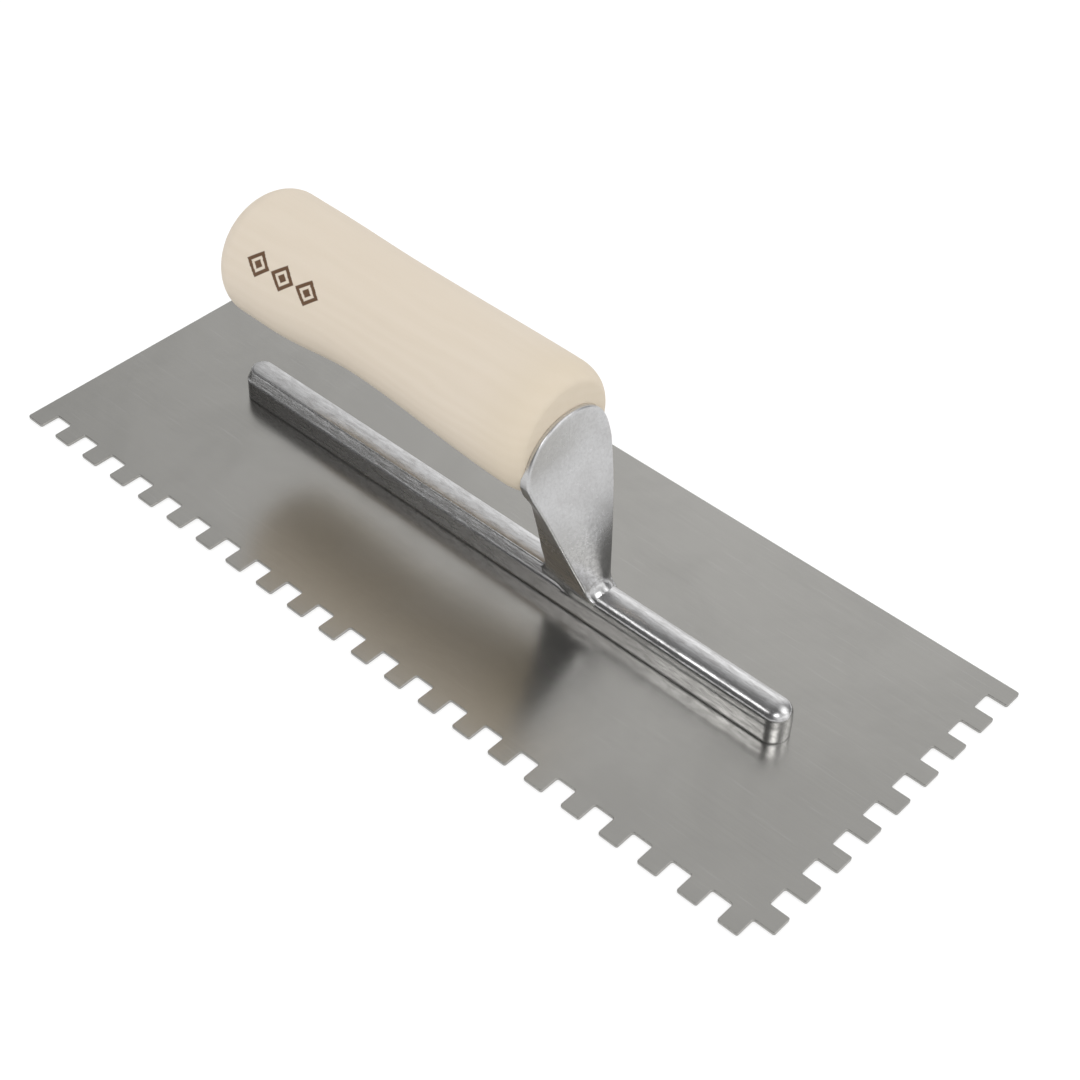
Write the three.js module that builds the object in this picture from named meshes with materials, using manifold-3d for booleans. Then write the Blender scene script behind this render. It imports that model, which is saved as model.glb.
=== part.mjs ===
// A notched trowel for spreading tile adhesive, as separate pieces: a toothed steel blade, a cast
// mounting with its spine, post and leaf-shaped flange, a wooden handle, the steel tang that
// joins the handle to the mounting, and the countersunk rivets that join the blade to the spine.
// Millimetres. +X points to the toothed short edge, the toothed long edge is at -Y, +Z is up.
// The origin is the middle of the blade's underside.
import * as THREE from 'three';
import { mergeVertices } from 'three/addons/utils/BufferGeometryUtils.js';
import Module from 'manifold-3d';

const wasm = await Module();
wasm.setup();

// ---- Driving dimensions ----

// Blade: an 11 in by 4 1/2 in plate with 1/4 in square notches, 1/4 in apart.
const bladeLength = 279.4;
const bladeWidth = 114.3;
const bladeThickness = 0.9;
const notchWidth = 6.35;
const notchDepth = 6.35;
const toothWidth = 6.35;
const toothCornerRadius = 0.7;
const bladeCornerRadius = 1.0;

// Spine: the bar of the mounting that lies along the blade. Its walls stand straight up to the
// parting line of the casting, a land stands straight over it, and an arch closes in above.
// Behind the post the arch is lower and its flat crown wider than in front.
const spineLength = 206.5;
const spineCentreX = 1.3;
const spineHalfWidth = 4.9;
const spineWallHeight = 6.3;
const rearArchHeight = 4.1;
const rearCrownHalfWidth = 2.6;
const frontArchHeight = 5;
const frontCrownHalfWidth = 1.8;
const archLandHeight = 0.1;

// Post and flange. Heights are above the blade's top face, and depths run forward from the back.
const flangeFrontX = 25.4;
const flangeThickness = 1.5;
const rimDepth = 2;
const leafTopHeight = 63.9;
const shoulderHeight = 48.8;
const shoulderHalfWidth = 16.8;
const shoulderRound = 2.4;
const kneeHeight = 47.8;
const faceTurnHeight = 42.3;
const faceTurnDepth = 5.5;
const faceStraightHeight = 22.8;
const faceStraightDepth = 11.1;
const postFootDepth = 14.6;
const postFootHeight = 9.8;

// Tang, and the boss behind the flange that holds it.
const tangHeight = 55.3;
const tangRadius = 4;
const tangLength = 66;
const tangTipLength = 4;
const tangTipRadius = 2.5;
const bossWall = 2.4;
const bossLength = 12;

// Handle: the radii where its outline turns, how far back from the front face they lie, and how
// high its straight top line runs above the tang's axis.
const handleLength = 121;
const frontRadius = 19.2;
const waistRadius = 17.8;
const palmRadius = 19.3;
const frontPlace = 9;
const waistPlace = 65;
const palmPlace = 99;
const topLineFront = 19.8;
const topLineBack = 22.1;
const domeDepth = 11;
const frontRoundLength = 7.6;
const frontRoundDepth = 4.1;

// Rivets.
const rivetCount = 7;
const rivetRadius = 2;
const rivetHeadFlare = 1.6;
const rivetHeadDepth = 0.9;
const rivetReach = 5.5;
const rivetEndMargin = 12;

// Clearances: round the rivets and the tang, and between the wood and the metal that it sits on.
const pressClearance = 0.15;
const glueGap = 0.3;

// Facets.
const roundSides = 16;
const handleSides = 36;
const domeSteps = 7;
const bodySteps = 16;
const frontRoundSteps = 4;

// ---- Materials ----

const bladeSteel = new THREE.MeshStandardMaterial({ color: 0x98978f, roughness: 0.38, metalness: 1 });
const castMetal = new THREE.MeshStandardMaterial({ color: 0xc4c4c2, roughness: 0.3, metalness: 1 });
const paleWood = new THREE.MeshStandardMaterial({ color: 0xe1d6c4, roughness: 0.6, metalness: 0 });
const rodSteel = new THREE.MeshStandardMaterial({ color: 0x8a8a88, roughness: 0.45, metalness: 1 });

// ---- Solids and meshes ----

// Merges a geometry's shared corners, and leaves out triangles that have shrunk to a line.
function toSolid(geometry) {
  const bare = geometry.clone();
  bare.deleteAttribute('normal');
  bare.deleteAttribute('uv');
  const merged = mergeVertices(bare, 1e-4);
  const corners = merged.index.array;
  const kept = [];
  for (let i = 0; i < corners.length; i += 3) {
    const [a, b, c] = corners.slice(i, i + 3);
    if (a !== b && b !== c && c !== a) kept.push(a, b, c);
  }
  return new wasm.Manifold(new wasm.Mesh({
    numProp: 3,
    vertProperties: new Float32Array(merged.attributes.position.array),
    triVerts: new Uint32Array(kept),
  }));
}

function toMesh(name, solid, material) {
  const { vertProperties, triVerts } = solid.getMesh();
  const geometry = new THREE.BufferGeometry();
  geometry.setAttribute('position', new THREE.BufferAttribute(vertProperties, 3));
  geometry.setIndex(new THREE.BufferAttribute(triVerts, 1));
  const mesh = new THREE.Mesh(geometry, material);
  mesh.name = name;
  return mesh;
}

// Turns a lathe's or cylinder's axis from +Y to +X.
function layAlongX(geometry) {
  geometry.rotateZ(-Math.PI / 2);
  return geometry;
}

// A round bar along +X from x = start to x = end, with its axis on height z.
function barAlongX(radius, start, end, z = 0) {
  const bar = layAlongX(new THREE.CylinderGeometry(radius, radius, end - start, roundSides));
  bar.translate((start + end) / 2, 0, z);
  return toSolid(bar);
}

// ---- Rivets: head flush with z = 0, shank standing up +Z, grown all round by a clearance ----

function rivetSolid(clearance = 0) {
  const shank = rivetRadius + clearance;
  const head = shank + rivetHeadFlare;
  const top = bladeThickness + rivetReach + clearance;
  const outline = [[0, 0], [head, 0], [shank, rivetHeadDepth], [shank, top], [0, top]];
  const lathe = new THREE.LatheGeometry(outline.map(([r, z]) => new THREE.Vector2(r, z)), roundSides);
  lathe.rotateX(Math.PI / 2);
  return toSolid(lathe);
}

const rivetSpan = spineLength - 2 * rivetEndMargin;
const rivetPlaces = Array.from(
  { length: rivetCount },
  (_, i) => spineCentreX + rivetSpan * (i / (rivetCount - 1) - 0.5),
);

// Cuts the rivets' holes in a solid whose own z = 0 lies at the given height over the blade's
// underside.
function drillForRivets(solid, height) {
  const drill = rivetSolid(pressClearance);
  return rivetPlaces.reduce((rest, x) => rest.subtract(drill.translate([x, 0, -height])), solid);
}

// ---- Blade ----

// A closed outline through [x, y, round] corners, each cut back by its round and curved over.
function roundedOutline(corners) {
  const shape = new THREE.Shape();
  corners.forEach(([x, y, round], i) => {
    const corner = new THREE.Vector2(x, y);
    const towards = (other) => new THREE.Vector2(other[0] - x, other[1] - y).setLength(round).add(corner);
    const from = towards(corners[(i + corners.length - 1) % corners.length]);
    const to = towards(corners[(i + 1) % corners.length]);
    if (i === 0) shape.moveTo(from.x, from.y);
    else shape.lineTo(from.x, from.y);
    shape.quadraticCurveTo(x, y, to.x, to.y);
  });
  shape.closePath();
  return shape;
}

// The notches are counted from the corner where the two toothed edges meet, which is itself cut
// away. What is left over at the far ends of the two edges widens the last tooth there.
function bladeOutline() {
  const front = bladeLength / 2;
  const side = bladeWidth / 2;
  const pitch = toothWidth + notchWidth;
  const round = toothCornerRadius;
  const corners = [[-front, -side, bladeCornerRadius]];
  for (let i = Math.floor(bladeLength / pitch) - 1; i > 0; i -= 1) {
    const end = front - i * pitch;
    const start = end - notchWidth;
    corners.push([start, -side, round], [start, notchDepth - side, round]);
    corners.push([end, notchDepth - side, round], [end, -side, round]);
  }
  corners.push([front - notchWidth, -side, round], [front - notchWidth, notchWidth - side, round]);
  corners.push([front, notchWidth - side, round]);
  for (let i = 1; i < Math.floor(bladeWidth / pitch); i += 1) {
    const start = i * pitch - side;
    const end = start + notchWidth;
    corners.push([front, start, round], [front - notchDepth, start, round]);
    corners.push([front - notchDepth, end, round], [front, end, round]);
  }
  corners.push([front, side, bladeCornerRadius], [-front, side, bladeCornerRadius]);
  return roundedOutline(corners);
}

function bladeSolid() {
  const plate = new THREE.ExtrudeGeometry(bladeOutline(), {
    depth: bladeThickness, bevelEnabled: false, curveSegments: 2,
  });
  return drillForRivets(toSolid(plate), 0);
}

// ---- Handle: its own frame has x = 0 at its front face and z = 0 on the tang's axis ----

// The body's radius at a distance back from the front face: level at the front, the waist and
// the palm, with half a cosine wave between them.
function bodyRadius(back) {
  const places = [frontPlace, waistPlace, palmPlace];
  const radii = [frontRadius, waistRadius, palmRadius];
  if (back <= places[0]) return radii[0];
  const i = back < places[1] ? 0 : 1;
  const part = Math.min((back - places[i]) / (places[i + 1] - places[i]), 1);
  return radii[i] + (radii[i + 1] - radii[i]) * (0.5 - 0.5 * Math.cos(Math.PI * part));
}

// The middle of the round section, which hangs by its radius under the straight top line.
function bodyHeight(back) {
  return THREE.MathUtils.lerp(topLineFront, topLineBack, back / handleLength) - bodyRadius(back);
}

// The outline from the back pole to the front pole, as [distance back from the front, radius]:
// a dome, the body, and the rounded front edge. A clearance grows it all round.
function handleOutline(clearance) {
  const outline = [];
  for (let i = 0; i < domeSteps; i += 1) {
    const turn = (i / domeSteps) * (Math.PI / 2);
    const back = handleLength - domeDepth * (1 - Math.cos(turn));
    outline.push([back + clearance, Math.sin(turn) * (bodyRadius(back) + clearance)]);
  }
  for (let i = 0; i <= bodySteps; i += 1) {
    const back = THREE.MathUtils.lerp(handleLength - domeDepth, frontRoundLength, i / bodySteps);
    outline.push([back, bodyRadius(back) + clearance]);
  }
  for (let i = 1; i <= frontRoundSteps; i += 1) {
    const turn = (i / frontRoundSteps) * (Math.PI / 2);
    const back = frontRoundLength * (1 - Math.sin(turn));
    const radius = bodyRadius(back) - frontRoundDepth * (1 - Math.cos(turn));
    outline.push([back - clearance, radius + clearance]);
  }
  outline.push([-clearance, 0]);
  return outline;
}

function handleBody(clearance = 0) {
  const points = handleOutline(clearance).map(([back, radius]) => new THREE.Vector2(radius, -back));
  const lathe = layAlongX(new THREE.LatheGeometry(points, handleSides));
  const position = lathe.attributes.position;
  for (let i = 0; i < position.count; i += 1) {
    const back = THREE.MathUtils.clamp(-position.getX(i), 0, handleLength);
    position.setZ(i, position.getZ(i) + bodyHeight(back));
  }
  return toSolid(lathe);
}

const bossRadius = tangRadius + bossWall;
const tangFront = glueGap;
const tangBack = tangFront - tangLength;

function handleSolid() {
  const bossHole = barAlongX(bossRadius + glueGap, -bossLength - glueGap, glueGap);
  const tangHole = barAlongX(tangRadius + pressClearance, tangBack - glueGap, 0);
  return handleBody().subtract(bossHole).subtract(tangHole);
}

// A plain rod with a tapered tip at the back.
function tangSolid() {
  const outline = [
    [0, tangBack], [tangTipRadius, tangBack], [tangRadius, tangBack + tangTipLength],
    [tangRadius, tangFront], [0, tangFront],
  ];
  const points = outline.map(([r, x]) => new THREE.Vector2(r, x));
  return toSolid(layAlongX(new THREE.LatheGeometry(points, roundSides)));
}

// ---- Mounting: its own frame has z = 0 on the blade's top face ----

const frontSpineTop = spineWallHeight + frontArchHeight;
const postBackX = flangeFrontX - rimDepth;
const handleFrontX = flangeFrontX - flangeThickness - glueGap;

// The plan of a bar along X with full-round ends.
function barPlan(back, front, halfWidth, roundEndRadius) {
  const plan = new THREE.Shape();
  plan.absarc(front - roundEndRadius, 0, halfWidth, -Math.PI / 2, Math.PI / 2);
  plan.absarc(back + roundEndRadius, 0, halfWidth, Math.PI / 2, 1.5 * Math.PI);
  plan.closePath();
  return plan;
}

// One stretch of the spine: straight walls, and above their land a quarter-ellipse bevel that
// arches in to the flat crown. The bevel on the crown's underside lies inside the walls.
function barSolid(back, front, archHeight, crownHalfWidth) {
  const curveSegments = roundSides / 2;
  const walls = new THREE.ExtrudeGeometry(barPlan(back, front, spineHalfWidth, spineHalfWidth), {
    depth: spineWallHeight, bevelEnabled: false, curveSegments,
  });
  const crown = new THREE.ExtrudeGeometry(barPlan(back, front, crownHalfWidth, spineHalfWidth), {
    depth: archLandHeight,
    bevelThickness: archHeight - archLandHeight,
    bevelSize: spineHalfWidth - crownHalfWidth,
    bevelSegments: 5,
    curveSegments,
  });
  crown.translate(0, 0, spineWallHeight);
  return toSolid(walls).add(toSolid(crown));
}

// The two stretches overlap inside the post.
function spineSolid() {
  const meet = postBackX + postFootDepth / 2;
  const back = spineCentreX - spineLength / 2;
  const front = spineCentreX + spineLength / 2;
  const rearBar = barSolid(back, meet + spineHalfWidth, rearArchHeight, rearCrownHalfWidth);
  const frontBar = barSolid(meet - spineHalfWidth, front, frontArchHeight, frontCrownHalfWidth);
  return rearBar.add(frontBar);
}

// The flange and post seen from the front: straight sides that widen from the spine's walls up
// to the shoulders, and a pointed arch over them.
function leafOutline() {
  const foot = spineHalfWidth;
  const root = spineWallHeight / 2;
  const half = shoulderHalfWidth;
  const lean = (half - foot) / (shoulderHeight - postFootHeight);
  const low = shoulderHeight - shoulderRound;
  const high = shoulderHeight + shoulderRound;
  const middle = (high + leafTopHeight) / 2;
  const leaf = new THREE.Shape();
  leaf.moveTo(-foot, root);
  leaf.lineTo(foot, root);
  leaf.lineTo(foot, postFootHeight);
  leaf.lineTo(half - lean * shoulderRound, low);
  leaf.quadraticCurveTo(half, shoulderHeight, half, high);
  leaf.bezierCurveTo(0.9 * half, middle, half / 2, leafTopHeight, 0, leafTopHeight);
  leaf.bezierCurveTo(-half / 2, leafTopHeight, -0.9 * half, middle, -half, high);
  leaf.quadraticCurveTo(-half, shoulderHeight, lean * shoulderRound - half, low);
  leaf.lineTo(-foot, postFootHeight);
  leaf.closePath();
  return leaf;
}

// The post seen from the side: upright back, a front face that slopes down and forward to the
// spine, and above the knee a thin upright plate.
function postProfile() {
  const root = spineWallHeight / 2;
  const above = leafTopHeight + flangeThickness;
  const at = (depth) => postBackX + depth;
  const profile = new THREE.Shape();
  profile.moveTo(at(0), root);
  profile.lineTo(at(postFootDepth), root);
  profile.lineTo(at(postFootDepth), frontSpineTop);
  profile.lineTo(at(faceStraightDepth), faceStraightHeight);
  profile.quadraticCurveTo(at(faceTurnDepth), faceTurnHeight, flangeFrontX, kneeHeight);
  profile.lineTo(flangeFrontX, above);
  profile.lineTo(at(0), above);
  profile.closePath();
  return profile;
}

// The post is what the front view and the side view both hold. The handle's rounded front end
// is then cut out of it, which leaves a shallow seat with a rim, and the boss stands in the seat.
function postSolid() {
  const reach = postFootDepth + rimDepth;
  const leaf = new THREE.ExtrudeGeometry(leafOutline(), {
    depth: 2 * reach, bevelEnabled: false, curveSegments: 10,
  });
  const [alongX, alongY, alongZ] = [[1, 0, 0], [0, 1, 0], [0, 0, 1]].map((v) => new THREE.Vector3(...v));
  leaf.applyMatrix4(new THREE.Matrix4().makeBasis(alongY, alongZ, alongX));
  leaf.translate(postBackX - reach / 2, 0, 0);
  const wide = 2 * shoulderHalfWidth;
  const profile = new THREE.ExtrudeGeometry(postProfile(), {
    depth: 2 * wide, bevelEnabled: false, curveSegments: 5,
  });
  profile.applyMatrix4(new THREE.Matrix4().makeBasis(alongX, alongZ, alongY.clone().negate()));
  profile.translate(0, wide, 0);
  const seatCut = handleBody(glueGap).translate([handleFrontX, 0, tangHeight]);
  const bossFront = flangeFrontX - flangeThickness / 2;
  const bossBack = flangeFrontX - flangeThickness - bossLength;
  const boss = barAlongX(bossRadius, bossBack, bossFront, tangHeight);
  return toSolid(leaf).intersect(toSolid(profile)).subtract(seatCut).add(boss);
}

function mountingSolid() {
  const socketEnd = handleFrontX + tangFront + pressClearance;
  const socketMouth = handleFrontX - bossLength - glueGap;
  const socket = barAlongX(tangRadius + pressClearance, socketMouth, socketEnd, tangHeight);
  return drillForRivets(spineSolid().add(postSolid()).subtract(socket), bladeThickness);
}

// ---- Assembly ----

const trowel = new THREE.Group();

trowel.add(toMesh('blade', bladeSolid(), bladeSteel));

rivetPlaces.forEach((x, i) => {
  const rivet = toMesh(`rivet_${i + 1}`, rivetSolid(), rodSteel);
  rivet.position.x = x;
  trowel.add(rivet);
});

const onBlade = new THREE.Group();
onBlade.position.z = bladeThickness;
onBlade.add(toMesh('mounting', mountingSolid(), castMetal));

const grip = new THREE.Group();
grip.position.set(handleFrontX, 0, tangHeight);
grip.add(toMesh('handle', handleSolid(), paleWood));
grip.add(toMesh('tang', tangSolid(), rodSteel));
onBlade.add(grip);

trowel.add(onBlade);

export default trowel;
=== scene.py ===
# A notched trowel: toothed steel blade, cast mounting with spine, post and leaf-shaped flange,
# turned wooden handle, steel tang and countersunk rivets, on a pale studio floor.
#
# Metres in the scene. The shape functions work in millimetres, and a grid is scaled once, when it
# becomes a mesh. +X points to the toothed short edge, the toothed long edge is at -Y, +Z is up.
import math

import bmesh
import bpy
import numpy as np
from mathutils import Matrix, Vector


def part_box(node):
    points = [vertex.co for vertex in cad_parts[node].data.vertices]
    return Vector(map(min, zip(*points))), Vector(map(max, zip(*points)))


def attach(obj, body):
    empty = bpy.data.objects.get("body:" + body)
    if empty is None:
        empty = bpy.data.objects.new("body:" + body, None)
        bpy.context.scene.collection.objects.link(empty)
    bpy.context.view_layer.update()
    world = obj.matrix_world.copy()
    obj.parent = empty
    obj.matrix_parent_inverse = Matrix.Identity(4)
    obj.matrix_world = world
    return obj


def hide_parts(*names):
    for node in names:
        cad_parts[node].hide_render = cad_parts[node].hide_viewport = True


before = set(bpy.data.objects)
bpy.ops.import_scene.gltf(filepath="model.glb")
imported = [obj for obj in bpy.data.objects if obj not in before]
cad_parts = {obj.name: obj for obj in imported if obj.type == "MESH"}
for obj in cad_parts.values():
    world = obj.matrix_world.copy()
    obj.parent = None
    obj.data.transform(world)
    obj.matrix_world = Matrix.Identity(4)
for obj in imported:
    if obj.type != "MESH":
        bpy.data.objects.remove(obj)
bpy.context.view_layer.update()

MM = 0.001
# Points nearer than this are one point, and edges shorter than this are dropped, in metres.
SAME_POINT = 1e-7
SHRUNKEN_EDGE = 1e-8


def box_mm(node):
    """A CAD node's lowest and highest corners, in millimetres."""
    low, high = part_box(node)
    return np.array(low) / MM, np.array(high) / MM


# ---- Sizes taken from the frame, in millimetres ----

blade_low, blade_high = box_mm("blade")
mount_low, mount_high = box_mm("mounting")
handle_low, handle_high = box_mm("handle")
tang_low, tang_high = box_mm("tang")
RIVETS = sorted(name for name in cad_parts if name.startswith("rivet_"))

BLADE_TOP = blade_high[2]
SPINE_BACK = mount_low[0]
SPINE_FRONT = mount_high[0]
LEAF_TOP = mount_high[2]
LEAF_HALF_WIDTH = mount_high[1]
HANDLE_FRONT = handle_high[0]
HANDLE_LENGTH = handle_high[0] - handle_low[0]
TANG_RADIUS = tang_high[1]
TANG_HEIGHT = (tang_low[2] + tang_high[2]) / 2
TANG_FRONT = tang_high[0]
TANG_BACK = tang_low[0]

# ---- Sizes chosen here, in millimetres ----

NOTCH = 6.35
TOOTH_ROUND = 0.7
BLADE_CORNER_ROUND = 1.0
BLADE_EDGE_ROUND = 0.12
BLADE_EDGE_STEPS = 4
LEVEL_NORMAL = 0.9999

# The spine's walls rise from a rounded foot to a small chamfer under the parting line. FOOT_INNER
# is the reach of the first ring round the underside's middle line.
SPINE_HALF_WIDTH = 4.9
PARTING_HEIGHT = 6.3
FOOT_INNER = 0.5
FOOT_ROUND = 0.25
FOOT_ROUND_MIDDLE = 0.07
PARTING_CHAMFER = 0.12

POST_BACK = 22.8
POST_MIDDLE = 30.0
ARCH_BLEND = 4.0
LEAF_CENTRE = 52.0
FACE_ROUND = 0.8
COVE_DEPTH = 2.0
COVE_HEIGHT = 1.1
SEAT_GAP = 0.08

BOSS_WALL = 2.4
BOSS_LENGTH = 12.0
BOSS_ROOT = 0.6
BORE_GAP = 0.15
GLUE_GAP = 0.3
# How far a tool that cuts a hole runs past the face that the hole opens in.
CUT_PAST = 1.0

RIVET_RADIUS = 2.0
RIVET_HEAD_FLARE = 1.6
RIVET_HEAD_DEPTH = 0.9
RIVET_RIM_WIDTH = 0.15
RIVET_RIM_DEPTH = 0.12
RIVET_REACH = 5.5
RIVET_END_ROUND = 0.3
RIVET_SIDES = 48
TANG_TIP_LENGTH = 4.0
TANG_TIP_RADIUS = 2.5
TANG_EDGE = 0.4
TANG_SIDES = 48

# The handle's outline: how far back from its front face it turns, its radius there, and how
# high its straight top line runs above the tang's axis at the front and at the back.
HANDLE_PLACES = (9.0, 65.0, 99.0)
HANDLE_RADII = (19.2, 17.8, 19.3)
TOP_LINE = (19.8, 22.1)
DOME_DEPTH = 11.0
FRONT_ROUND_LENGTH = 7.6
FRONT_ROUND_DEPTH = 4.1

# ---- From a grid of points to a mesh ----


def new_piece(name, vertices, faces):
    """An object whose mesh has the given points, in millimetres, and faces."""
    mesh = bpy.data.meshes.new(name)
    mesh.from_pydata((np.asarray(vertices) * MM).tolist(), [], faces)
    piece = bpy.data.objects.new(name, mesh)
    bpy.context.scene.collection.objects.link(piece)
    return piece


def face_outwards(piece):
    """Merges the doubled points of seams and poles, drops shrunken faces, and turns every face
    outwards."""
    work = bmesh.new()
    work.from_mesh(piece.data)
    bmesh.ops.remove_doubles(work, verts=work.verts, dist=SAME_POINT)
    bmesh.ops.dissolve_degenerate(work, edges=work.edges, dist=SHRUNKEN_EDGE)
    bmesh.ops.recalc_face_normals(work, faces=work.faces)
    work.to_mesh(piece.data)
    work.free()
    piece.data.shade_smooth()
    return piece


def ring_surface(name, grid):
    """A closed surface from a grid of points with the shape (path, profile, 3). The path closes
    on itself, and the profile runs from one pole or middle line to another, where points of
    different path steps fall together and are merged."""
    steps, rows = grid.shape[:2]
    index = np.arange(steps * rows).reshape(steps, rows)
    after = np.roll(index, -1, axis=0)
    quads = np.stack([index[:, :-1], after[:, :-1], after[:, 1:], index[:, 1:]], axis=-1)
    return face_outwards(new_piece(name, grid.reshape(-1, 3), quads.reshape(-1, 4).tolist()))


def apply_modifiers(piece):
    """Swaps the piece's mesh for the result of its modifiers, and removes them."""
    depsgraph = bpy.context.evaluated_depsgraph_get()
    result = bpy.data.meshes.new_from_object(piece.evaluated_get(depsgraph))
    result.name = piece.name
    piece.modifiers.clear()
    piece.data = result


def boolean(piece, operation, *tools):
    """Joins the tools to the piece, or cuts them out of it, one after another."""
    for tool in tools:
        step = piece.modifiers.new(operation, "BOOLEAN")
        step.operation = operation
        step.solver = "EXACT"
        step.object = tool
        apply_modifiers(piece)
        bpy.data.objects.remove(tool)


def finish_piece(piece, material, slot, *nodes, crease=35):
    """Gives the piece its material, sharpens its edges past the crease angle, and sets it in
    place of the CAD nodes."""
    piece.data.materials.clear()
    piece.data.materials.append(material)
    piece.data.set_sharp_from_angle(angle=math.radians(crease))
    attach(piece, "root")
    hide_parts(*nodes)


def revolved(profile, sides=64):
    """The grid of a solid of revolution about +X: each point (x, radius) of the profile goes round
    a circle, as (x, radius cos angle, radius sin angle)."""
    profile = np.asarray(profile, float)
    angle = np.linspace(0, 2 * np.pi, sides, endpoint=False)[:, None]
    x = np.broadcast_to(profile[:, 0], (sides, len(profile)))
    return np.stack([x, profile[:, 1] * np.cos(angle), profile[:, 1] * np.sin(angle)], axis=-1)


def shifted(grid, x=0.0, y=0.0, z=0.0):
    """The grid moved by the distances."""
    return grid + np.array([x, y, z])


def stood_up(grid):
    """Turns a grid's +X axis to +Z."""
    return grid[..., [1, 2, 0]]


def smooth_step(x, low, high):
    """3t^2 - 2t^3, where t rises evenly from 0 at low to 1 at high."""
    t = np.clip((x - low) / (high - low), 0, 1)
    return t * t * (3 - 2 * t)


# ---- Blade ----


def rounded_outline(corners, rounds, steps=7):
    """A closed outline with each corner rounded. From a point one round before the corner to a
    point one round after it, the curve is (1-t)^2 from + 2t(1-t) corner + t^2 to."""
    corners = np.asarray(corners, float)
    rounds = np.asarray(rounds, float)[:, None]
    before = np.roll(corners, 1, axis=0) - corners
    after = np.roll(corners, -1, axis=0) - corners
    start = corners + rounds * before / np.linalg.norm(before, axis=1, keepdims=True)
    end = corners + rounds * after / np.linalg.norm(after, axis=1, keepdims=True)
    t = np.linspace(0, 1, steps)[None, :, None]
    curve = (1 - t) ** 2 * start[:, None] + 2 * t * (1 - t) * corners[:, None] + t**2 * end[:, None]
    return curve.reshape(-1, 2)


def blade_outline():
    """The plate's outline: notches 1/4 in wide and deep, 1/4 in apart, counted from the corner
    where the two toothed edges meet, which is cut away itself."""
    back, side, _ = blade_low
    front, far, _ = blade_high
    corners = [(back, side, BLADE_CORNER_ROUND)]
    for i in range(round((front - back) / (2 * NOTCH)) - 1, 0, -1):
        start = front - 2 * NOTCH * i - NOTCH
        end = start + NOTCH
        ends = [(start, side), (start, side + NOTCH), (end, side + NOTCH), (end, side)]
        corners += [(x, y, TOOTH_ROUND) for x, y in ends]
    cut = [(front - NOTCH, side), (front - NOTCH, side + NOTCH), (front, side + NOTCH)]
    corners += [(x, y, TOOTH_ROUND) for x, y in cut]
    for i in range(1, round((far - side) / (2 * NOTCH))):
        start = side + 2 * NOTCH * i
        end = start + NOTCH
        ends = [(front, start), (front - NOTCH, start), (front - NOTCH, end), (front, end)]
        corners += [(x, y, TOOTH_ROUND) for x, y in ends]
    corners += [(front, far, BLADE_CORNER_ROUND), (back, far, BLADE_CORNER_ROUND)]
    corners = np.array(corners)
    return rounded_outline(corners[:, :2], corners[:, 2])


def inset(outline, distance):
    """The outline moved inwards: each point goes by the distance along its normal, which is the
    direction from the point before it to the point after it, turned left."""
    along = np.roll(outline, -1, axis=0) - np.roll(outline, 1, axis=0)
    along /= np.linalg.norm(along, axis=1, keepdims=True)
    return outline + distance * np.stack([-along[:, 1], along[:, 0]], axis=1)


def flatten_level_faces(piece):
    """Shades the faces that lie level as flat, so that the plate reflects as one plane. A face is
    level where its normal's height is within a hair of 1."""
    normals = np.empty(3 * len(piece.data.polygons))
    piece.data.polygons.foreach_get("normal", normals)
    level = np.abs(normals[2::3]) > LEVEL_NORMAL
    piece.data.attributes.new("sharp_face", "BOOLEAN", "FACE").data.foreach_set("value", level)


def blade_piece(material):
    """The outline carried up an edge profile with a small quarter-round at each face. The two
    faces are flat and fill the innermost rings."""
    outline = blade_outline()
    turn = np.linspace(0, np.pi / 2, BLADE_EDGE_STEPS)
    low = [(BLADE_EDGE_ROUND * (1 - np.sin(a)), BLADE_EDGE_ROUND * (1 - np.cos(a))) for a in turn]
    high = [(depth, BLADE_TOP - z) for depth, z in reversed(low)]
    count = len(outline)
    rings = [
        np.column_stack([inset(outline, depth), np.full(count, z)])
        for depth, z in low + high
    ]
    index = np.arange(len(rings) * count).reshape(len(rings), count)
    after = np.roll(index, -1, axis=1)
    quads = np.stack([index[:-1], after[:-1], after[1:], index[1:]], axis=-1).reshape(-1, 4).tolist()
    faces = quads + [index[0][::-1].tolist(), index[-1].tolist()]
    piece = new_piece("blade_plate", np.concatenate(rings), faces)
    piece.data.shade_smooth()
    boolean(piece, "DIFFERENCE", *rivet_drills())
    finish_piece(piece, material, "blade_steel", "blade")
    flatten_level_faces(piece)


# ---- Rivets ----


def rivet_profile(clearance=0.0):
    """(height, radius) from the middle of the flush head up to the middle of the shank's end."""
    shank = RIVET_RADIUS + clearance
    head = shank + RIVET_HEAD_FLARE
    top = BLADE_TOP + RIVET_REACH + clearance
    return [
        (0, 0),
        (0, head - RIVET_RIM_WIDTH),
        (RIVET_RIM_DEPTH, head),
        (RIVET_HEAD_DEPTH, shank),
        (top - RIVET_END_ROUND, shank),
        (top, shank - RIVET_END_ROUND),
        (top, 0),
    ]


def rivet_surface(name, node, clearance=0.0):
    """The rivet's profile turned about an upright axis at the CAD node's middle."""
    low, high = box_mm(node)
    grid = stood_up(revolved(rivet_profile(clearance), RIVET_SIDES))
    return ring_surface(name, shifted(grid, x=(low[0] + high[0]) / 2))


def rivet_drills():
    """One tool for each rivet, which cuts its hole and countersink."""
    return [rivet_surface(f"drill_{node}", node, BORE_GAP) for node in RIVETS]


def rivet_pieces(material):
    """The rivets, each with its head flush in the blade's underside."""
    for node in RIVETS:
        finish_piece(rivet_surface(f"flush_{node}", node), material, "rod_steel", node)


# ---- Handle ----


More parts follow.
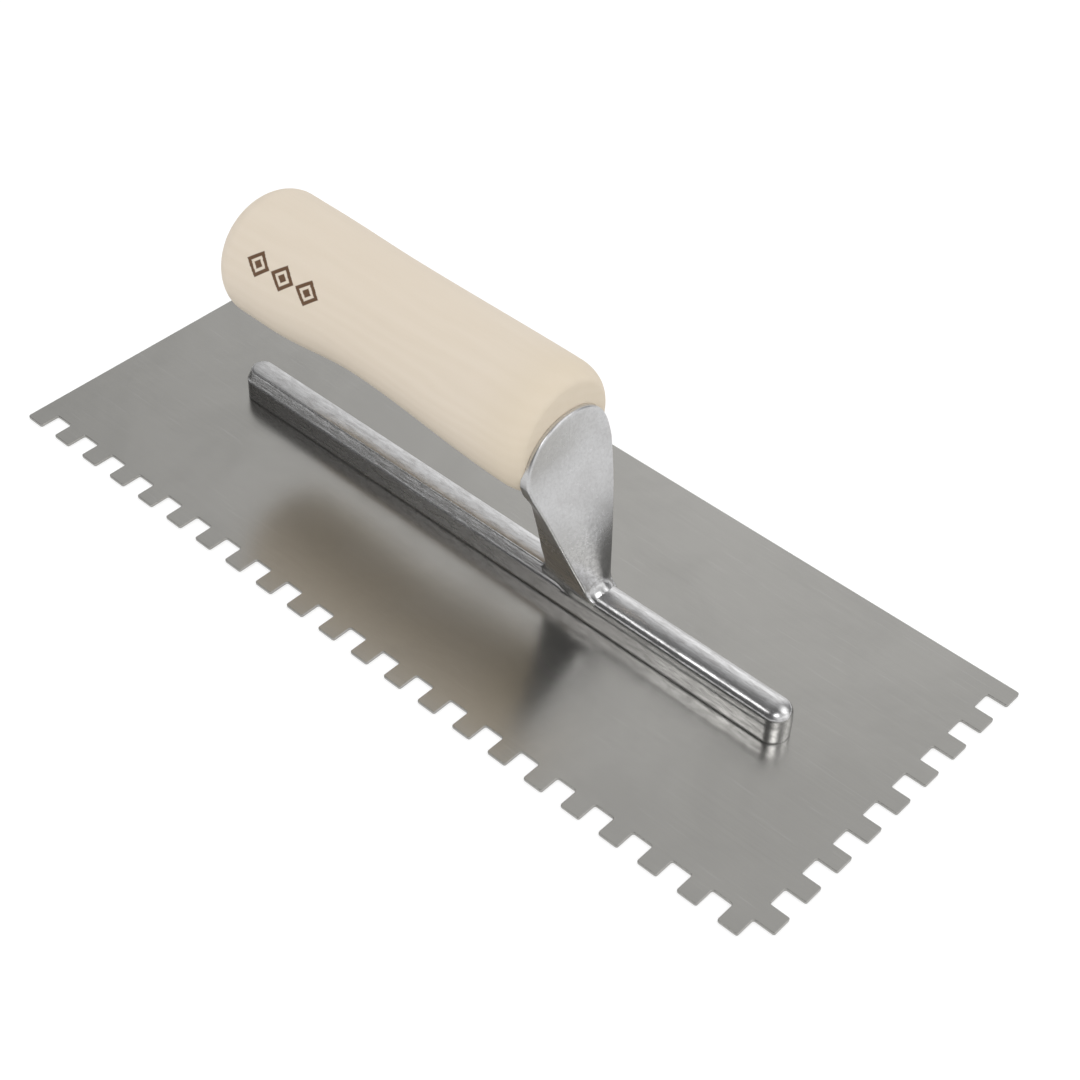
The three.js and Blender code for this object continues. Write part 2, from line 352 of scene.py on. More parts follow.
def body_radius(back):
    """The body's radius at a distance back from the front face: level at the front, the waist
    and the palm, with half a cosine wave between them."""
    front, waist, palm = HANDLE_PLACES
    first, second = smooth_wave(back, front, waist), smooth_wave(back, waist, palm)
    a, b, c = HANDLE_RADII
    return a + (b - a) * first + (c - b) * second


def smooth_wave(x, low, high):
    """Half a cosine wave that rises from 0 at low to 1 at high."""
    return 0.5 - 0.5 * np.cos(np.pi * np.clip((x - low) / (high - low), 0, 1))


def handle_grid(grow=0.0, sides=112, turn_steps=22, body_steps=90, face_steps=8):
    """Circles of radius r(back) that hang under the straight top line: the dome's radius goes
    as the sine of a quarter turn, the front edge's as a quarter ellipse, and between them the
    body's radius holds. Grow moves the whole surface outwards."""
    turn = np.linspace(0, np.pi / 2, turn_steps)
    dome_back = HANDLE_LENGTH - DOME_DEPTH * (1 - np.cos(turn))
    dome_radius = np.sin(turn) * (body_radius(dome_back) + grow)
    body_back = np.linspace(HANDLE_LENGTH - DOME_DEPTH, FRONT_ROUND_LENGTH, body_steps)[1:-1]
    front_back = FRONT_ROUND_LENGTH * (1 - np.sin(turn))
    front_radius = body_radius(front_back) - FRONT_ROUND_DEPTH * (1 - np.cos(turn)) + grow
    face = np.linspace(1, 0, face_steps)[1:]
    back = np.concatenate([
        dome_back + grow, body_back, front_back - grow * np.sin(turn), 0 * face - grow,
    ])
    radius = np.concatenate([
        dome_radius, body_radius(body_back) + grow, front_radius, face * front_radius[-1],
    ])
    inside = np.clip(back, 0, HANDLE_LENGTH)
    top_line = TANG_HEIGHT + TOP_LINE[0] + (TOP_LINE[1] - TOP_LINE[0]) * inside / HANDLE_LENGTH
    middle = top_line - body_radius(inside)
    angle = np.linspace(0, 2 * np.pi, sides, endpoint=False)[:, None]
    x = np.broadcast_to(HANDLE_FRONT - back, (sides, len(back)))
    return np.stack([x, radius * np.cos(angle), middle + radius * np.sin(angle)], axis=-1)


def rod(name, radius, start, end):
    """A round bar along +X on the tang's axis."""
    profile = [(start, 0), (start, radius), (end, radius), (end, 0)]
    return ring_surface(name, shifted(revolved(profile), z=TANG_HEIGHT))


def handle_piece(material):
    """The turned handle, with a stepped hole for the boss and the tang."""
    piece = ring_surface("turned_handle", handle_grid())
    boss_radius = TANG_RADIUS + BOSS_WALL + GLUE_GAP
    boss_end = HANDLE_FRONT - BOSS_LENGTH - GLUE_GAP
    boss_hole = rod("boss_hole", boss_radius, boss_end, HANDLE_FRONT + CUT_PAST)
    tang_hole = rod("tang_hole", TANG_RADIUS + BORE_GAP, TANG_BACK - GLUE_GAP, HANDLE_FRONT)
    boolean(piece, "DIFFERENCE", boss_hole, tang_hole)
    finish_piece(piece, material, "pale_wood", "handle")


def tang_piece(material):
    """The tang: a round bar with a tapered tip at the back and a small bevel at the front."""
    profile = [
        (TANG_BACK, 0),
        (TANG_BACK, TANG_TIP_RADIUS),
        (TANG_BACK + TANG_TIP_LENGTH, TANG_RADIUS),
        (TANG_FRONT - TANG_EDGE, TANG_RADIUS),
        (TANG_FRONT, TANG_RADIUS - TANG_EDGE),
        (TANG_FRONT, 0),
    ]
    piece = ring_surface("tang_rod", shifted(revolved(profile, TANG_SIDES), z=TANG_HEIGHT))
    finish_piece(piece, material, "rod_steel", "tang")


# ---- Mounting ----


def arch_profile(top, shoulder, slope, lean, ledge, side_steps=4, arc_steps=16):
    """The arch over the parting line, from the ledge up and in to the middle, as reach from the
    spine's middle line and height above the blade. A side leans in, the shoulder's small arc
    follows, and where that has turned to the slope angle the crown's wide arc takes over. Both
    arcs share their tangent there, and the crown's radius is the one for which the side starts at
    the ledge."""
    slope, lean = math.radians(slope), math.radians(lean)
    foot = SPINE_HALF_WIDTH - ledge
    rise = top - PARTING_HEIGHT + shoulder * (math.sin(lean) - math.cos(slope))
    left = foot + shoulder * (math.sin(slope) - math.cos(lean)) - math.tan(lean) * rise
    crown = left / (math.sin(slope) - math.tan(lean) * (1 - math.cos(slope)))
    centre_reach = (crown - shoulder) * math.sin(slope)
    centre_height = top - crown + (crown - shoulder) * math.cos(slope)
    turn = np.linspace(np.pi / 2 - lean, slope, arc_steps)
    low_reach = centre_reach + shoulder * np.sin(turn)
    low_height = centre_height + shoulder * np.cos(turn)
    side = np.linspace(0, 1, side_steps)[:-1]
    side_reach = foot + (low_reach[0] - foot) * side
    side_height = PARTING_HEIGHT + (low_height[0] - PARTING_HEIGHT) * side
    turn = np.linspace(slope, 0, arc_steps)[1:]
    reach = np.concatenate([side_reach, low_reach, crown * np.sin(turn)])
    height = np.concatenate([side_height, low_height, top - crown * (1 - np.cos(turn))])
    return reach, height


REAR_ARCH = arch_profile(top=10.4, shoulder=1.0, slope=10, lean=20, ledge=0.14)
FRONT_ARCH = arch_profile(top=11.3, shoulder=3.1, slope=33, lean=3.5, ledge=0.03)


def arch_height(arch, y):
    """The arch's surface over a point, in mm above the floor."""
    return BLADE_TOP + np.interp(np.abs(y), arch[0][::-1], arch[1][::-1])


def spine_grid(run_steps=420, end_steps=41, wall_steps=7):
    """A profile carried along a stadium-shaped path. The path is a middle line with a round end
    at each side, and the profile runs from the underside's middle out to the wall, up to the
    parting ledge, over the arch and in to the middle. The rear arch blends into the front one
    under the post."""
    half = SPINE_HALF_WIDTH
    back, front = SPINE_BACK + half, SPINE_FRONT - half
    run = np.linspace(back, front, run_steps)
    arc = np.linspace(-np.pi / 2, np.pi / 2, end_steps)[1:-1]
    middle = np.concatenate([run, np.full(len(arc), front), run[::-1], np.full(len(arc), back)])
    right, left = np.full(len(run), -np.pi / 2), np.full(len(run), np.pi / 2)
    angle = np.concatenate([right, arc, left, arc + np.pi])
    middle, angle = middle[:, None], angle[:, None]
    wall = np.linspace(FOOT_ROUND, PARTING_HEIGHT - PARTING_CHAMFER, wall_steps)
    foot = [0, FOOT_INNER, half - FOOT_ROUND, half - FOOT_ROUND_MIDDLE]
    low_reach = np.concatenate([foot, np.full(len(wall), half)])
    low_height = np.concatenate([[0, 0, 0, FOOT_ROUND_MIDDLE], wall])
    share = smooth_step(middle, POST_MIDDLE - ARCH_BLEND, POST_MIDDLE + ARCH_BLEND)
    ones = np.ones_like(middle)
    arch_reach = REAR_ARCH[0] * (1 - share) + FRONT_ARCH[0] * share
    arch_top = REAR_ARCH[1] * (1 - share) + FRONT_ARCH[1] * share
    reach = np.concatenate([low_reach * ones, arch_reach], axis=1)
    height = np.concatenate([low_height * ones, arch_top], axis=1)
    x = middle + reach * np.cos(angle)
    y = reach * np.sin(angle)
    return np.stack([x, y, BLADE_TOP + height], axis=-1)


# The leaf: at heights above the floor, the half-width of its front face, the half-width of its
# rear, how far forward the face's edge stands, and how far the ridge up its middle stands out.
LEAF_HEIGHTS = (5.0, 8.0, 10.0, 12.5, 15.0, 20.0, 30.0, 39.0, 45.0, 49.0)
LEAF_FACE = (4.75, 4.75, 5.0, 5.5, 6.2, 7.9, 11.0, 13.7, 15.6, LEAF_HALF_WIDTH - 0.3)
LEAF_REAR = (3.8, 3.8, 4.0, 4.4, 4.9, 6.4, 8.8, 11.3, 15.0, LEAF_HALF_WIDTH - 0.5)
FACE_HEIGHTS = (5.0, 15.0, 30.0, 39.0, 45.0, 49.0, 54.0, 66.0)
FACE_PLACES = (39.9, 37.1, 33.0, 30.3, 27.8, 26.0, 25.3, 25.1)
RIDGE_HEIGHTS = (10.0, 15.0, 24.0, 34.0, 44.0, 66.0)
RIDGE_DEPTHS = (2.6, 2.5, 1.9, 0.9, 0.25, 0.0)
FACE_SOFTNESS = 5.0
RIDGE_SOFTNESS = 3.0
RIDGE_TOP_ROUND = 0.02
RIDGE_FLANK = 0.14
TIP_DRAW = 0.92
REAR_DRAW = 0.6
NO_WIDTH = 1e-6


def soft_line(x, xs, ys, spread=1.2, samples=9):
    """Straight lines between the points, with their corners softened by averaging over a few
    nearby places."""
    offsets = np.linspace(-1, 1, samples) * spread
    return np.mean([np.interp(x + d, xs, ys) for d in offsets], axis=0)


def leaf_outline(steps=150):
    """One half of the leaf's outline from foot to tip, then the other half back down, as
    (y, height, rear share). Up to the shoulders the half-width follows the table. Above them the
    outline is a full arch: the height rises as the sine of a quarter turn, and the half-width goes
    as its cosine to the power TIP_DRAW."""
    shoulder = LEAF_HEIGHTS[-1]
    low = np.linspace(LEAF_HEIGHTS[0], shoulder, steps)[:-1]
    turn = np.linspace(0, np.pi / 2, steps // 2)
    high = shoulder + (LEAF_TOP - shoulder) * np.sin(turn)
    z = np.concatenate([low, high])
    face = soft_line(low, LEAF_HEIGHTS, LEAF_FACE)
    rear = soft_line(low, LEAF_HEIGHTS, LEAF_REAR)
    top = face[-1] * np.cos(turn) ** TIP_DRAW
    y = np.concatenate([face, top])
    share = np.concatenate([rear / face, np.full(len(top), rear[-1] / face[-1])])
    return there_and_back(y, -1), there_and_back(z, 1), there_and_back(share, 1)


def there_and_back(values, sign):
    """The values, and then all but the last of them in turn from the end, times the sign."""
    return np.concatenate([values, sign * values[::-1][1:]])


def post_front(y, z, half_width):
    """How far forward the post's face stands: its edge line, a soft ridge up its middle that
    fades towards the top, and at the foot a cove that swells as it nears the spine."""
    across = np.clip(np.abs(y) / np.maximum(half_width, NO_WIDTH), 0, 1)
    tent = 1 - np.sqrt(across**2 + RIDGE_TOP_ROUND) + RIDGE_FLANK * across
    edge = soft_line(z, FACE_HEIGHTS, FACE_PLACES, FACE_SOFTNESS)
    ridge = soft_line(z, RIDGE_HEIGHTS, RIDGE_DEPTHS, RIDGE_SOFTNESS)
    above = np.maximum(z - arch_height(FRONT_ARCH, y), 0)
    return edge + ridge * tent + COVE_DEPTH * np.exp(-above / COVE_HEIGHT)


def post_back(y, z):
    """How far forward the post's rear stands: upright, with the same cove at the foot."""
    above = np.maximum(z - arch_height(REAR_ARCH, y), 0)
    return POST_BACK - COVE_DEPTH * np.exp(-above / COVE_HEIGHT)


def post_grid(face_rows=15, round_rows=6, side_rows=9, rear_rows=11):
    """A profile carried round the leaf's outline: from the middle line of the face out to its
    edge, round the edge, along the slanted side wall to the narrower rear, and in to the rear's
    middle line. Above the leaf's centre the middle line shrinks to one point."""
    y, z, share = (a[:, None] for a in leaf_outline())
    inner_z = np.minimum(z, LEAF_CENTRE)
    size = np.hypot(y, z - inner_z)
    spread = np.linspace(0, 1, face_rows)[None, :]
    close = 1 - FACE_ROUND / np.maximum(size, 4 * FACE_ROUND)
    face_y = y * spread * close
    face_z = inner_z + (z - inner_z) * spread * close
    face_x = post_front(face_y, face_z, np.abs(y))
    turn = np.linspace(0, np.pi / 2, round_rows)[None, 1:]
    round_share = 1 - (1 - close) * (1 - np.sin(turn))
    round_y = y * round_share
    round_z = inner_z + (z - inner_z) * round_share
    rim_x = post_front(face_y[:, -1:], face_z[:, -1:], np.abs(y))
    round_x = rim_x - FACE_ROUND * (1 - np.cos(turn))
    side = np.linspace(0, 1, side_rows)[None, 1:]
    rear_y = y * share
    rear_z = inner_z + (z - inner_z) * (1 - REAR_DRAW + REAR_DRAW * share)
    end_x = round_x[:, -1:]
    side_y = y + (rear_y - y) * side
    side_z = z + (rear_z - z) * side
    side_x = end_x + (post_back(rear_y, rear_z) - end_x) * side
    rear = np.linspace(1, 0, rear_rows)[None, 1:]
    back_y = rear_y * rear
    back_z = inner_z + (rear_z - inner_z) * rear
    back_x = post_back(back_y, back_z)
    x = np.concatenate([face_x, round_x, side_x, back_x], axis=1)
    y = np.concatenate([face_y, round_y, side_y, back_y], axis=1)
    z = np.concatenate([face_z, round_z, side_z, back_z], axis=1)
    return np.stack([x, y, z], axis=-1)


def mounting_piece(material):
    """Spine, post and boss joined into one casting. The handle's seat, the tang's socket and the
    rivet holes are then cut."""
    piece = ring_surface("cast_mounting", spine_grid())
    post = ring_surface("post", post_grid())
    boolean(post, "DIFFERENCE", ring_surface("seat", handle_grid(SEAT_GAP)))
    boss_back = HANDLE_FRONT - BOSS_LENGTH
    boss = rod("boss", TANG_RADIUS + BOSS_WALL, boss_back, HANDLE_FRONT + SEAT_GAP + BOSS_ROOT)
    boolean(piece, "UNION", post, boss)
    socket = rod("socket", TANG_RADIUS + BORE_GAP, boss_back - CUT_PAST, TANG_FRONT + BORE_GAP)
    boolean(piece, "DIFFERENCE", socket, *rivet_drills())
    finish_piece(piece, material, "cast_metal", "mounting", crease=40)


# ---- Shader helpers ----


class Tree:
    """Short calls for a node tree: a node is made with its settings, and each input is a value
    or another node's output."""

    def __init__(self, tree):
        self.tree = tree

    def node(self, kind, inputs=None, **settings):
        made = self.tree.nodes.new(kind)
        for name, value in settings.items():
            setattr(made, name, value)
        for key, value in (inputs or {}).items():
            if isinstance(value, bpy.types.NodeSocket):
                self.link(value, made, key)
            else:
                made.inputs[key].default_value = value
        return made

    def link(self, output, node, key):
        self.tree.links.new(output, node.inputs[key])

    def math(self, operation, first, second=0.0, third=0.0):
        values = {0: first, 1: second, 2: third}
        return self.node("ShaderNodeMath", values, operation=operation).outputs[0]

    def ramp(self, value, low, high, out_low=0.0, out_high=1.0):
        """Goes smoothly from out_low, where the value is low, to out_high, where it is high."""
        inputs = {
            "Value": value, "From Min": low, "From Max": high, "To Min": out_low, "To Max": out_high,
        }
        return self.node("ShaderNodeMapRange", inputs, interpolation_type="SMOOTHSTEP").outputs[0]

    def mix(self, share, first, second):
        """A colour that goes from the first, where the share is 0, to the second, where it is 1."""
        inputs = {0: share, 6: first, 7: second}
        return self.node("ShaderNodeMix", inputs, data_type="RGBA").outputs[2]

    def noise(self, place, scale, detail=3.0, roughness=0.5, distortion=0.0):
        inputs = {
            "Vector": place,
            "Scale": scale,
            "Detail": detail,
            "Roughness": roughness,
            "Distortion": distortion,
        }
        return self.node("ShaderNodeTexNoise", inputs).outputs["Fac"]

    def stretched(self, place, scale, turn=(0.0, 0.0, 0.0)):
        inputs = {"Vector": place, "Scale": scale, "Rotation": turn}
        return self.node("ShaderNodeMapping", inputs).outputs[0]


def object_place(tree):
    """Object coordinates in millimetres."""
    place = tree.node("ShaderNodeTexCoord").outputs["Object"]
    return tree.node("ShaderNodeVectorMath", {0: place, 3: 1 / MM}, operation="SCALE").outputs[0]


def new_group(name, inputs, outputs):
    """A shader node group with float or vector inputs, given as (name, default), and outputs."""
    group = bpy.data.node_groups.new(name, "ShaderNodeTree")
    for label, default in inputs:
        kind = "NodeSocketVector" if default is None else "NodeSocketFloat"
        made = group.interface.new_socket(label, in_out="INPUT", socket_type=kind)
        if default is not None:
            made.default_value = default
    for label in outputs:
        group.interface.new_socket(label, in_out="OUTPUT", socket_type="NodeSocketFloat")
    tree = Tree(group)
    return group, tree, tree.node("NodeGroupInput").outputs, tree.node("NodeGroupOutput")


def scratch_group():
    """Fine scratches in three directions: noise drawn out along each one, cut off high, so that
    only thin hair lines are left."""
    inputs = [("Place", None), ("Fineness", 1.0)]
    group, tree, given, out = new_group("Fine scratches", inputs, ["Mask"])
    total = 0.0
    for turn, stretch in ((0.3, 14.0), (1.2, 18.0), (2.35, 12.0)):
        place = tree.stretched(given["Place"], (1 / stretch, 1.6, 1.6), (turn, turn * 0.7, turn))
        scale = tree.math("MULTIPLY", given["Fineness"], 1.3)
        line = tree.noise(place, scale, 2.0, 0.6)
        total = tree.math("ADD", total, tree.ramp(line, 0.66, 0.74))
    tree.link(tree.math("MINIMUM", total, 1.0), out, "Mask")
    return group


def smudge_group():
    """Broad soft patches where a surface was handled or wiped."""
    inputs = [("Place", None), ("Size", 30.0)]
    group, tree, given, out = new_group("Handling smudges", inputs, ["Mask"])
    scale = tree.math("DIVIDE", 1.0, given["Size"])
    patch = tree.noise(given["Place"], scale, 4.0, 0.62, 0.6)
    tree.link(tree.ramp(patch, 0.35, 0.72), out, "Mask")
    return group


def grain_group():
    """Lines drawn out along X: rolling marks on a plate, or fibres in wood."""
    inputs = [("Place", None), ("Length", 60.0), ("Width", 0.5)]
    group, tree, given, out = new_group("Long grain", inputs, ["Mask"])
    along = tree.math("DIVIDE", 1.0, given["Length"])
    across = tree.math("DIVIDE", 1.0, given["Width"])
    scale = tree.node("ShaderNodeCombineXYZ", {0: along, 1: across, 2: across}).outputs[0]
    inputs = {0: given["Place"], 1: scale}
    place = tree.node("ShaderNodeVectorMath", inputs, operation="MULTIPLY").outputs[0]
    tree.link(tree.noise(place, 1.0, 3.0, 0.55), out, "Mask")
    return group


SCRATCHES = scratch_group()
SMUDGES = smudge_group()
GRAIN = grain_group()


def placed(tree, group, **values):
    """A node group set into a material with its own values."""
    return tree.node("ShaderNodeGroup", values, node_tree=group).outputs["Mask"]


def new_material(name, **shader_values):
    """A material with its Principled shader's own sockets set, spaces written as underscores."""
    material = bpy.data.materials.new(name)
    material.use_nodes = True
    tree = Tree(material.node_tree)
    shader = material.node_tree.nodes["Principled BSDF"]
    for key, value in shader_values.items():
        shader.inputs[key.replace("_", " ")].default_value = value
    return material, tree, shader


def bump(tree, height, distance):
    """A normal for a height map whose full height is the distance, in millimetres."""
    inputs = {"Height": height, "Distance": distance * MM, "Strength": 1.0}
    return tree.node("ShaderNodeBump", inputs).outputs[0]


# ---- Materials ----

PLATE_LIGHT = (0.49, 0.482, 0.458, 1)
PLATE_DARK = (0.435, 0.428, 0.407, 1)
PLATE_SCRATCH = (0.62, 0.61, 0.6, 1)
PLATE_ROUGHNESS = 0.185
PLATE_BUMP = 0.004

CASTING_BRIGHT = (0.735, 0.735, 0.74, 1)
CASTING_DULL = (0.55, 0.545, 0.545, 1)
CASTING_WORN = (0.50, 0.49, 0.485, 1)
CASTING_SCRATCH = (0.84, 0.84, 0.84, 1)
# The next two colours are painted shade: low on the post's side away from the toothed long edge, and
# the dark reflection on the spine's walls.
POST_PAINTED_SHADE = (0.22, 0.22, 0.222, 1)
WALL_PAINTED_SHADE = (0.26, 0.25, 0.25, 1)
CASTING_BUMP = 0.045

WOOD_LIGHT = (0.85, 0.755, 0.635, 1)
WOOD_DARK = (0.80, 0.70, 0.57, 1)
WOOD_CLOUD = (0.83, 0.725, 0.60, 1)
WOOD_PORE = (0.60, 0.48, 0.34, 1)
# The next colour is painted shade, darker and warmer, on the wood next to the flange.
WOOD_PAINTED_FLANGE_SHADE = (0.78, 0.665, 0.48, 1)
SCORCH_DARK = (0.105, 0.046, 0.018, 1)
SCORCH_LIGHT = (0.17, 0.083, 0.035, 1)
WOOD_BUMP = 0.03
# The pith of the year rings lies this far under the floor and out to the toothed long edge.
PITH_BELOW = 22.0
PITH_ASIDE = 34.0
RING_WIDTH = 1.9
RING_BEND = 16.0
# Painted shade, darker and warmer, grows on the wood over this stretch behind its front face, where
# it meets the flange.
FLANGE_SHADE_FROM = 22.0
FLANGE_SHADE_FULLY = 2.0

ROD_LIGHT = (0.42, 0.41, 0.40, 1)
ROD_DARK = (0.34, 0.335, 0.33, 1)
ROD_SCRATCH = (0.6, 0.6, 0.6, 1)
ROD_BUMP = 0.02


def blade_steel():
    """Cold-rolled plate: warm mid grey, satin, with faint rolling marks along its length, hair
    scratches and wiped patches."""
    material, tree, shader = new_material("Blade steel", Metallic=1.0)
    place = object_place(tree)
    rolled = placed(tree, GRAIN, Place=place, Length=45.0, Width=0.35)
    wiped = placed(tree, SMUDGES, Place=place, Size=38.0)
    scratched = placed(tree, SCRATCHES, Place=place, Fineness=0.55)
    tone = tree.math("MULTIPLY_ADD", rolled, 0.5, tree.math("MULTIPLY", wiped, 0.5))
    colour = tree.mix(tone, PLATE_LIGHT, PLATE_DARK)
    colour = tree.mix(tree.math("MULTIPLY", scratched, 0.16), colour, PLATE_SCRATCH)
    rough = tree.math("MULTIPLY_ADD", wiped, 0.05, PLATE_ROUGHNESS)
    rough = tree.math("MULTIPLY_ADD", rolled, 0.05, rough)
    tree.link(colour, shader, "Base Color")
    tree.link(rough, shader, "Roughness")
    tree.link(bump(tree, rolled, PLATE_BUMP), shader, "Normal")
    return material


def cast_metal():
    """Tumbled aluminium casting: satin grey, with a finely mottled skin, worn patches, many small
    scratches and slight unevenness. Painted shade darkens it low on the post's side away from the
    toothed long edge, and on the spine's walls, as the dark reflection they show, fading out to the
    front."""
    material, tree, shader = new_material("Tumbled casting", Metallic=1.0)
    place = object_place(tree)
    apart = tree.node("ShaderNodeSeparateXYZ", {0: place}).outputs
    mottled = tree.noise(tree.stretched(place, (0.22, 1.0, 1.15)), 1.0, 5.0, 0.62, 0.3)
    fine = tree.noise(place, 2.6, 4.0, 0.6)
    scratched = placed(tree, SCRATCHES, Place=place, Fineness=1.2)
    worn = placed(tree, SMUDGES, Place=place, Size=14.0)

    # Up the post the skin goes from clear to satin. Along the spine it gets rougher to the rear.
    satin = tree.ramp(apart[2], 16.0, 34.0)
    clear = tree.math("MULTIPLY_ADD", satin, -0.55, 1.0)
    rear = tree.ramp(apart[0], 22.0, -4.0)

    blotch = tree.math("MULTIPLY", tree.ramp(mottled, 0.35, 0.7), clear)
    colour = tree.mix(blotch, CASTING_BRIGHT, CASTING_DULL)
    colour = tree.mix(tree.math("MULTIPLY", worn, 0.3), colour, CASTING_WORN)
    colour = tree.mix(tree.math("MULTIPLY", scratched, 0.35), colour, CASTING_SCRATCH)

    # Painted shade low on the post's side away from the toothed long edge: its borders wander with
    # the mottling.
    across = tree.math("MULTIPLY_ADD", tree.math("SUBTRACT", mottled, 0.5), 9.0, apart[1])
    low = tree.math("MULTIPLY_ADD", tree.math("SUBTRACT", fine, 0.5), 8.0, apart[2])
    post_painted_shade = tree.math("MULTIPLY", tree.ramp(across, -4.5, 5.5), tree.ramp(low, 42.0, 20.0))
    post_painted_shade = tree.math("MULTIPLY", post_painted_shade, tree.ramp(apart[2], 12.0, 15.0))
    colour = tree.mix(tree.math("MULTIPLY", post_painted_shade, 0.75), colour, POST_PAINTED_SHADE)

    # Painted shade on the spine's walls, up to the parting line: the dark reflection the walls show,
    # fading out to the front.
    wall = tree.math("MULTIPLY", tree.ramp(apart[2], 7.5, 7.0), tree.ramp(apart[0], 70.0, 20.0))
    colour = tree.mix(tree.math("MULTIPLY", wall, 0.62), colour, WALL_PAINTED_SHADE)

    rough = tree.ramp(mottled, 0.3, 0.75, 0.14, 0.24)
    rough = tree.math("MULTIPLY_ADD", scratched, 0.06, rough)
    rough = tree.math("MULTIPLY_ADD", satin, 0.13, rough)
    rough = tree.math("MULTIPLY_ADD", rear, 0.07, rough)

    height = tree.math("MULTIPLY_ADD", fine, 0.12, mottled)
    height = tree.math("MULTIPLY_ADD", scratched, -0.12, height)
    height = tree.math("MULTIPLY_ADD", worn, 0.5, height)
    height = tree.math("MULTIPLY", height, tree.math("MULTIPLY_ADD", rear, 0.3, clear))
    tree.link(colour, shader, "Base Color")
    tree.link(rough, shader, "Roughness")
    tree.link(bump(tree, height, CASTING_BUMP), shader, "Normal")
    return material


# The burnt mark on the handle's side: a row of lozenges, each an outline with a solid middle,
# drawn in millimetres along the handle and in degrees up its side.
MARK_CENTRE = -66.5
MARK_ANGLE = 31.0
MARK_HALF_ANGLE = 12.0
LOZENGES = 3
LOZENGE_PITCH = 9.4
LOZENGE_HALF = 4.4
RIM_MIDDLE = 0.82
RIM_HALF_WIDTH = 0.18
CORE_REACH = 0.36
MARK_SOFTNESS = 0.05
# The burn's edge wanders over this many millimetres, and over this many degrees for each one.
MARK_WANDER = 0.35
MARK_WANDER_ANGLE = 3.0


def burnt_mark(tree, place):
    """A mask of the mark. s is the distance along the handle from the nearest lozenge's middle,
    and t the one up its side, both as shares of half a lozenge. Their sum is 1 on a lozenge's rim."""
    middle = TANG_HEIGHT + TOP_LINE[1] - HANDLE_RADII[2]
    apart = tree.node("ShaderNodeSeparateXYZ", {0: place}).outputs
    side = tree.math("MULTIPLY", apart[1], -1.0)
    height = tree.math("SUBTRACT", apart[2], middle)
    angle = tree.math("DEGREES", tree.math("ARCTAN2", height, side))
    uneven = tree.math("SUBTRACT", tree.noise(place, 1.6, 3.0), 0.5)
    wander = tree.math("MULTIPLY", uneven, MARK_WANDER)
    along = tree.math("ADD", tree.math("SUBTRACT", apart[0], MARK_CENTRE), wander)
    whole = tree.math("ROUND", tree.math("DIVIDE", along, LOZENGE_PITCH))
    most = (LOZENGES - 1) / 2
    whole = tree.math("MINIMUM", tree.math("MAXIMUM", whole, -most), most)
    step = tree.math("SUBTRACT", along, tree.math("MULTIPLY", whole, LOZENGE_PITCH))
    s = tree.math("DIVIDE", tree.math("ABSOLUTE", step), LOZENGE_HALF)
    wander_up = tree.math("MULTIPLY", wander, MARK_WANDER_ANGLE)
    up = tree.math("ADD", tree.math("SUBTRACT", angle, MARK_ANGLE), wander_up)
    t = tree.math("DIVIDE", tree.math("ABSOLUTE", up), MARK_HALF_ANGLE)
    reach = tree.math("ADD", s, t)
    soft = MARK_SOFTNESS
    off_rim = tree.math("ABSOLUTE", tree.math("SUBTRACT", reach, RIM_MIDDLE))
    outline = tree.ramp(off_rim, RIM_HALF_WIDTH + soft, RIM_HALF_WIDTH - soft)
    core = tree.ramp(reach, CORE_REACH + soft, CORE_REACH - soft)
    return tree.math("MAXIMUM", outline, core)


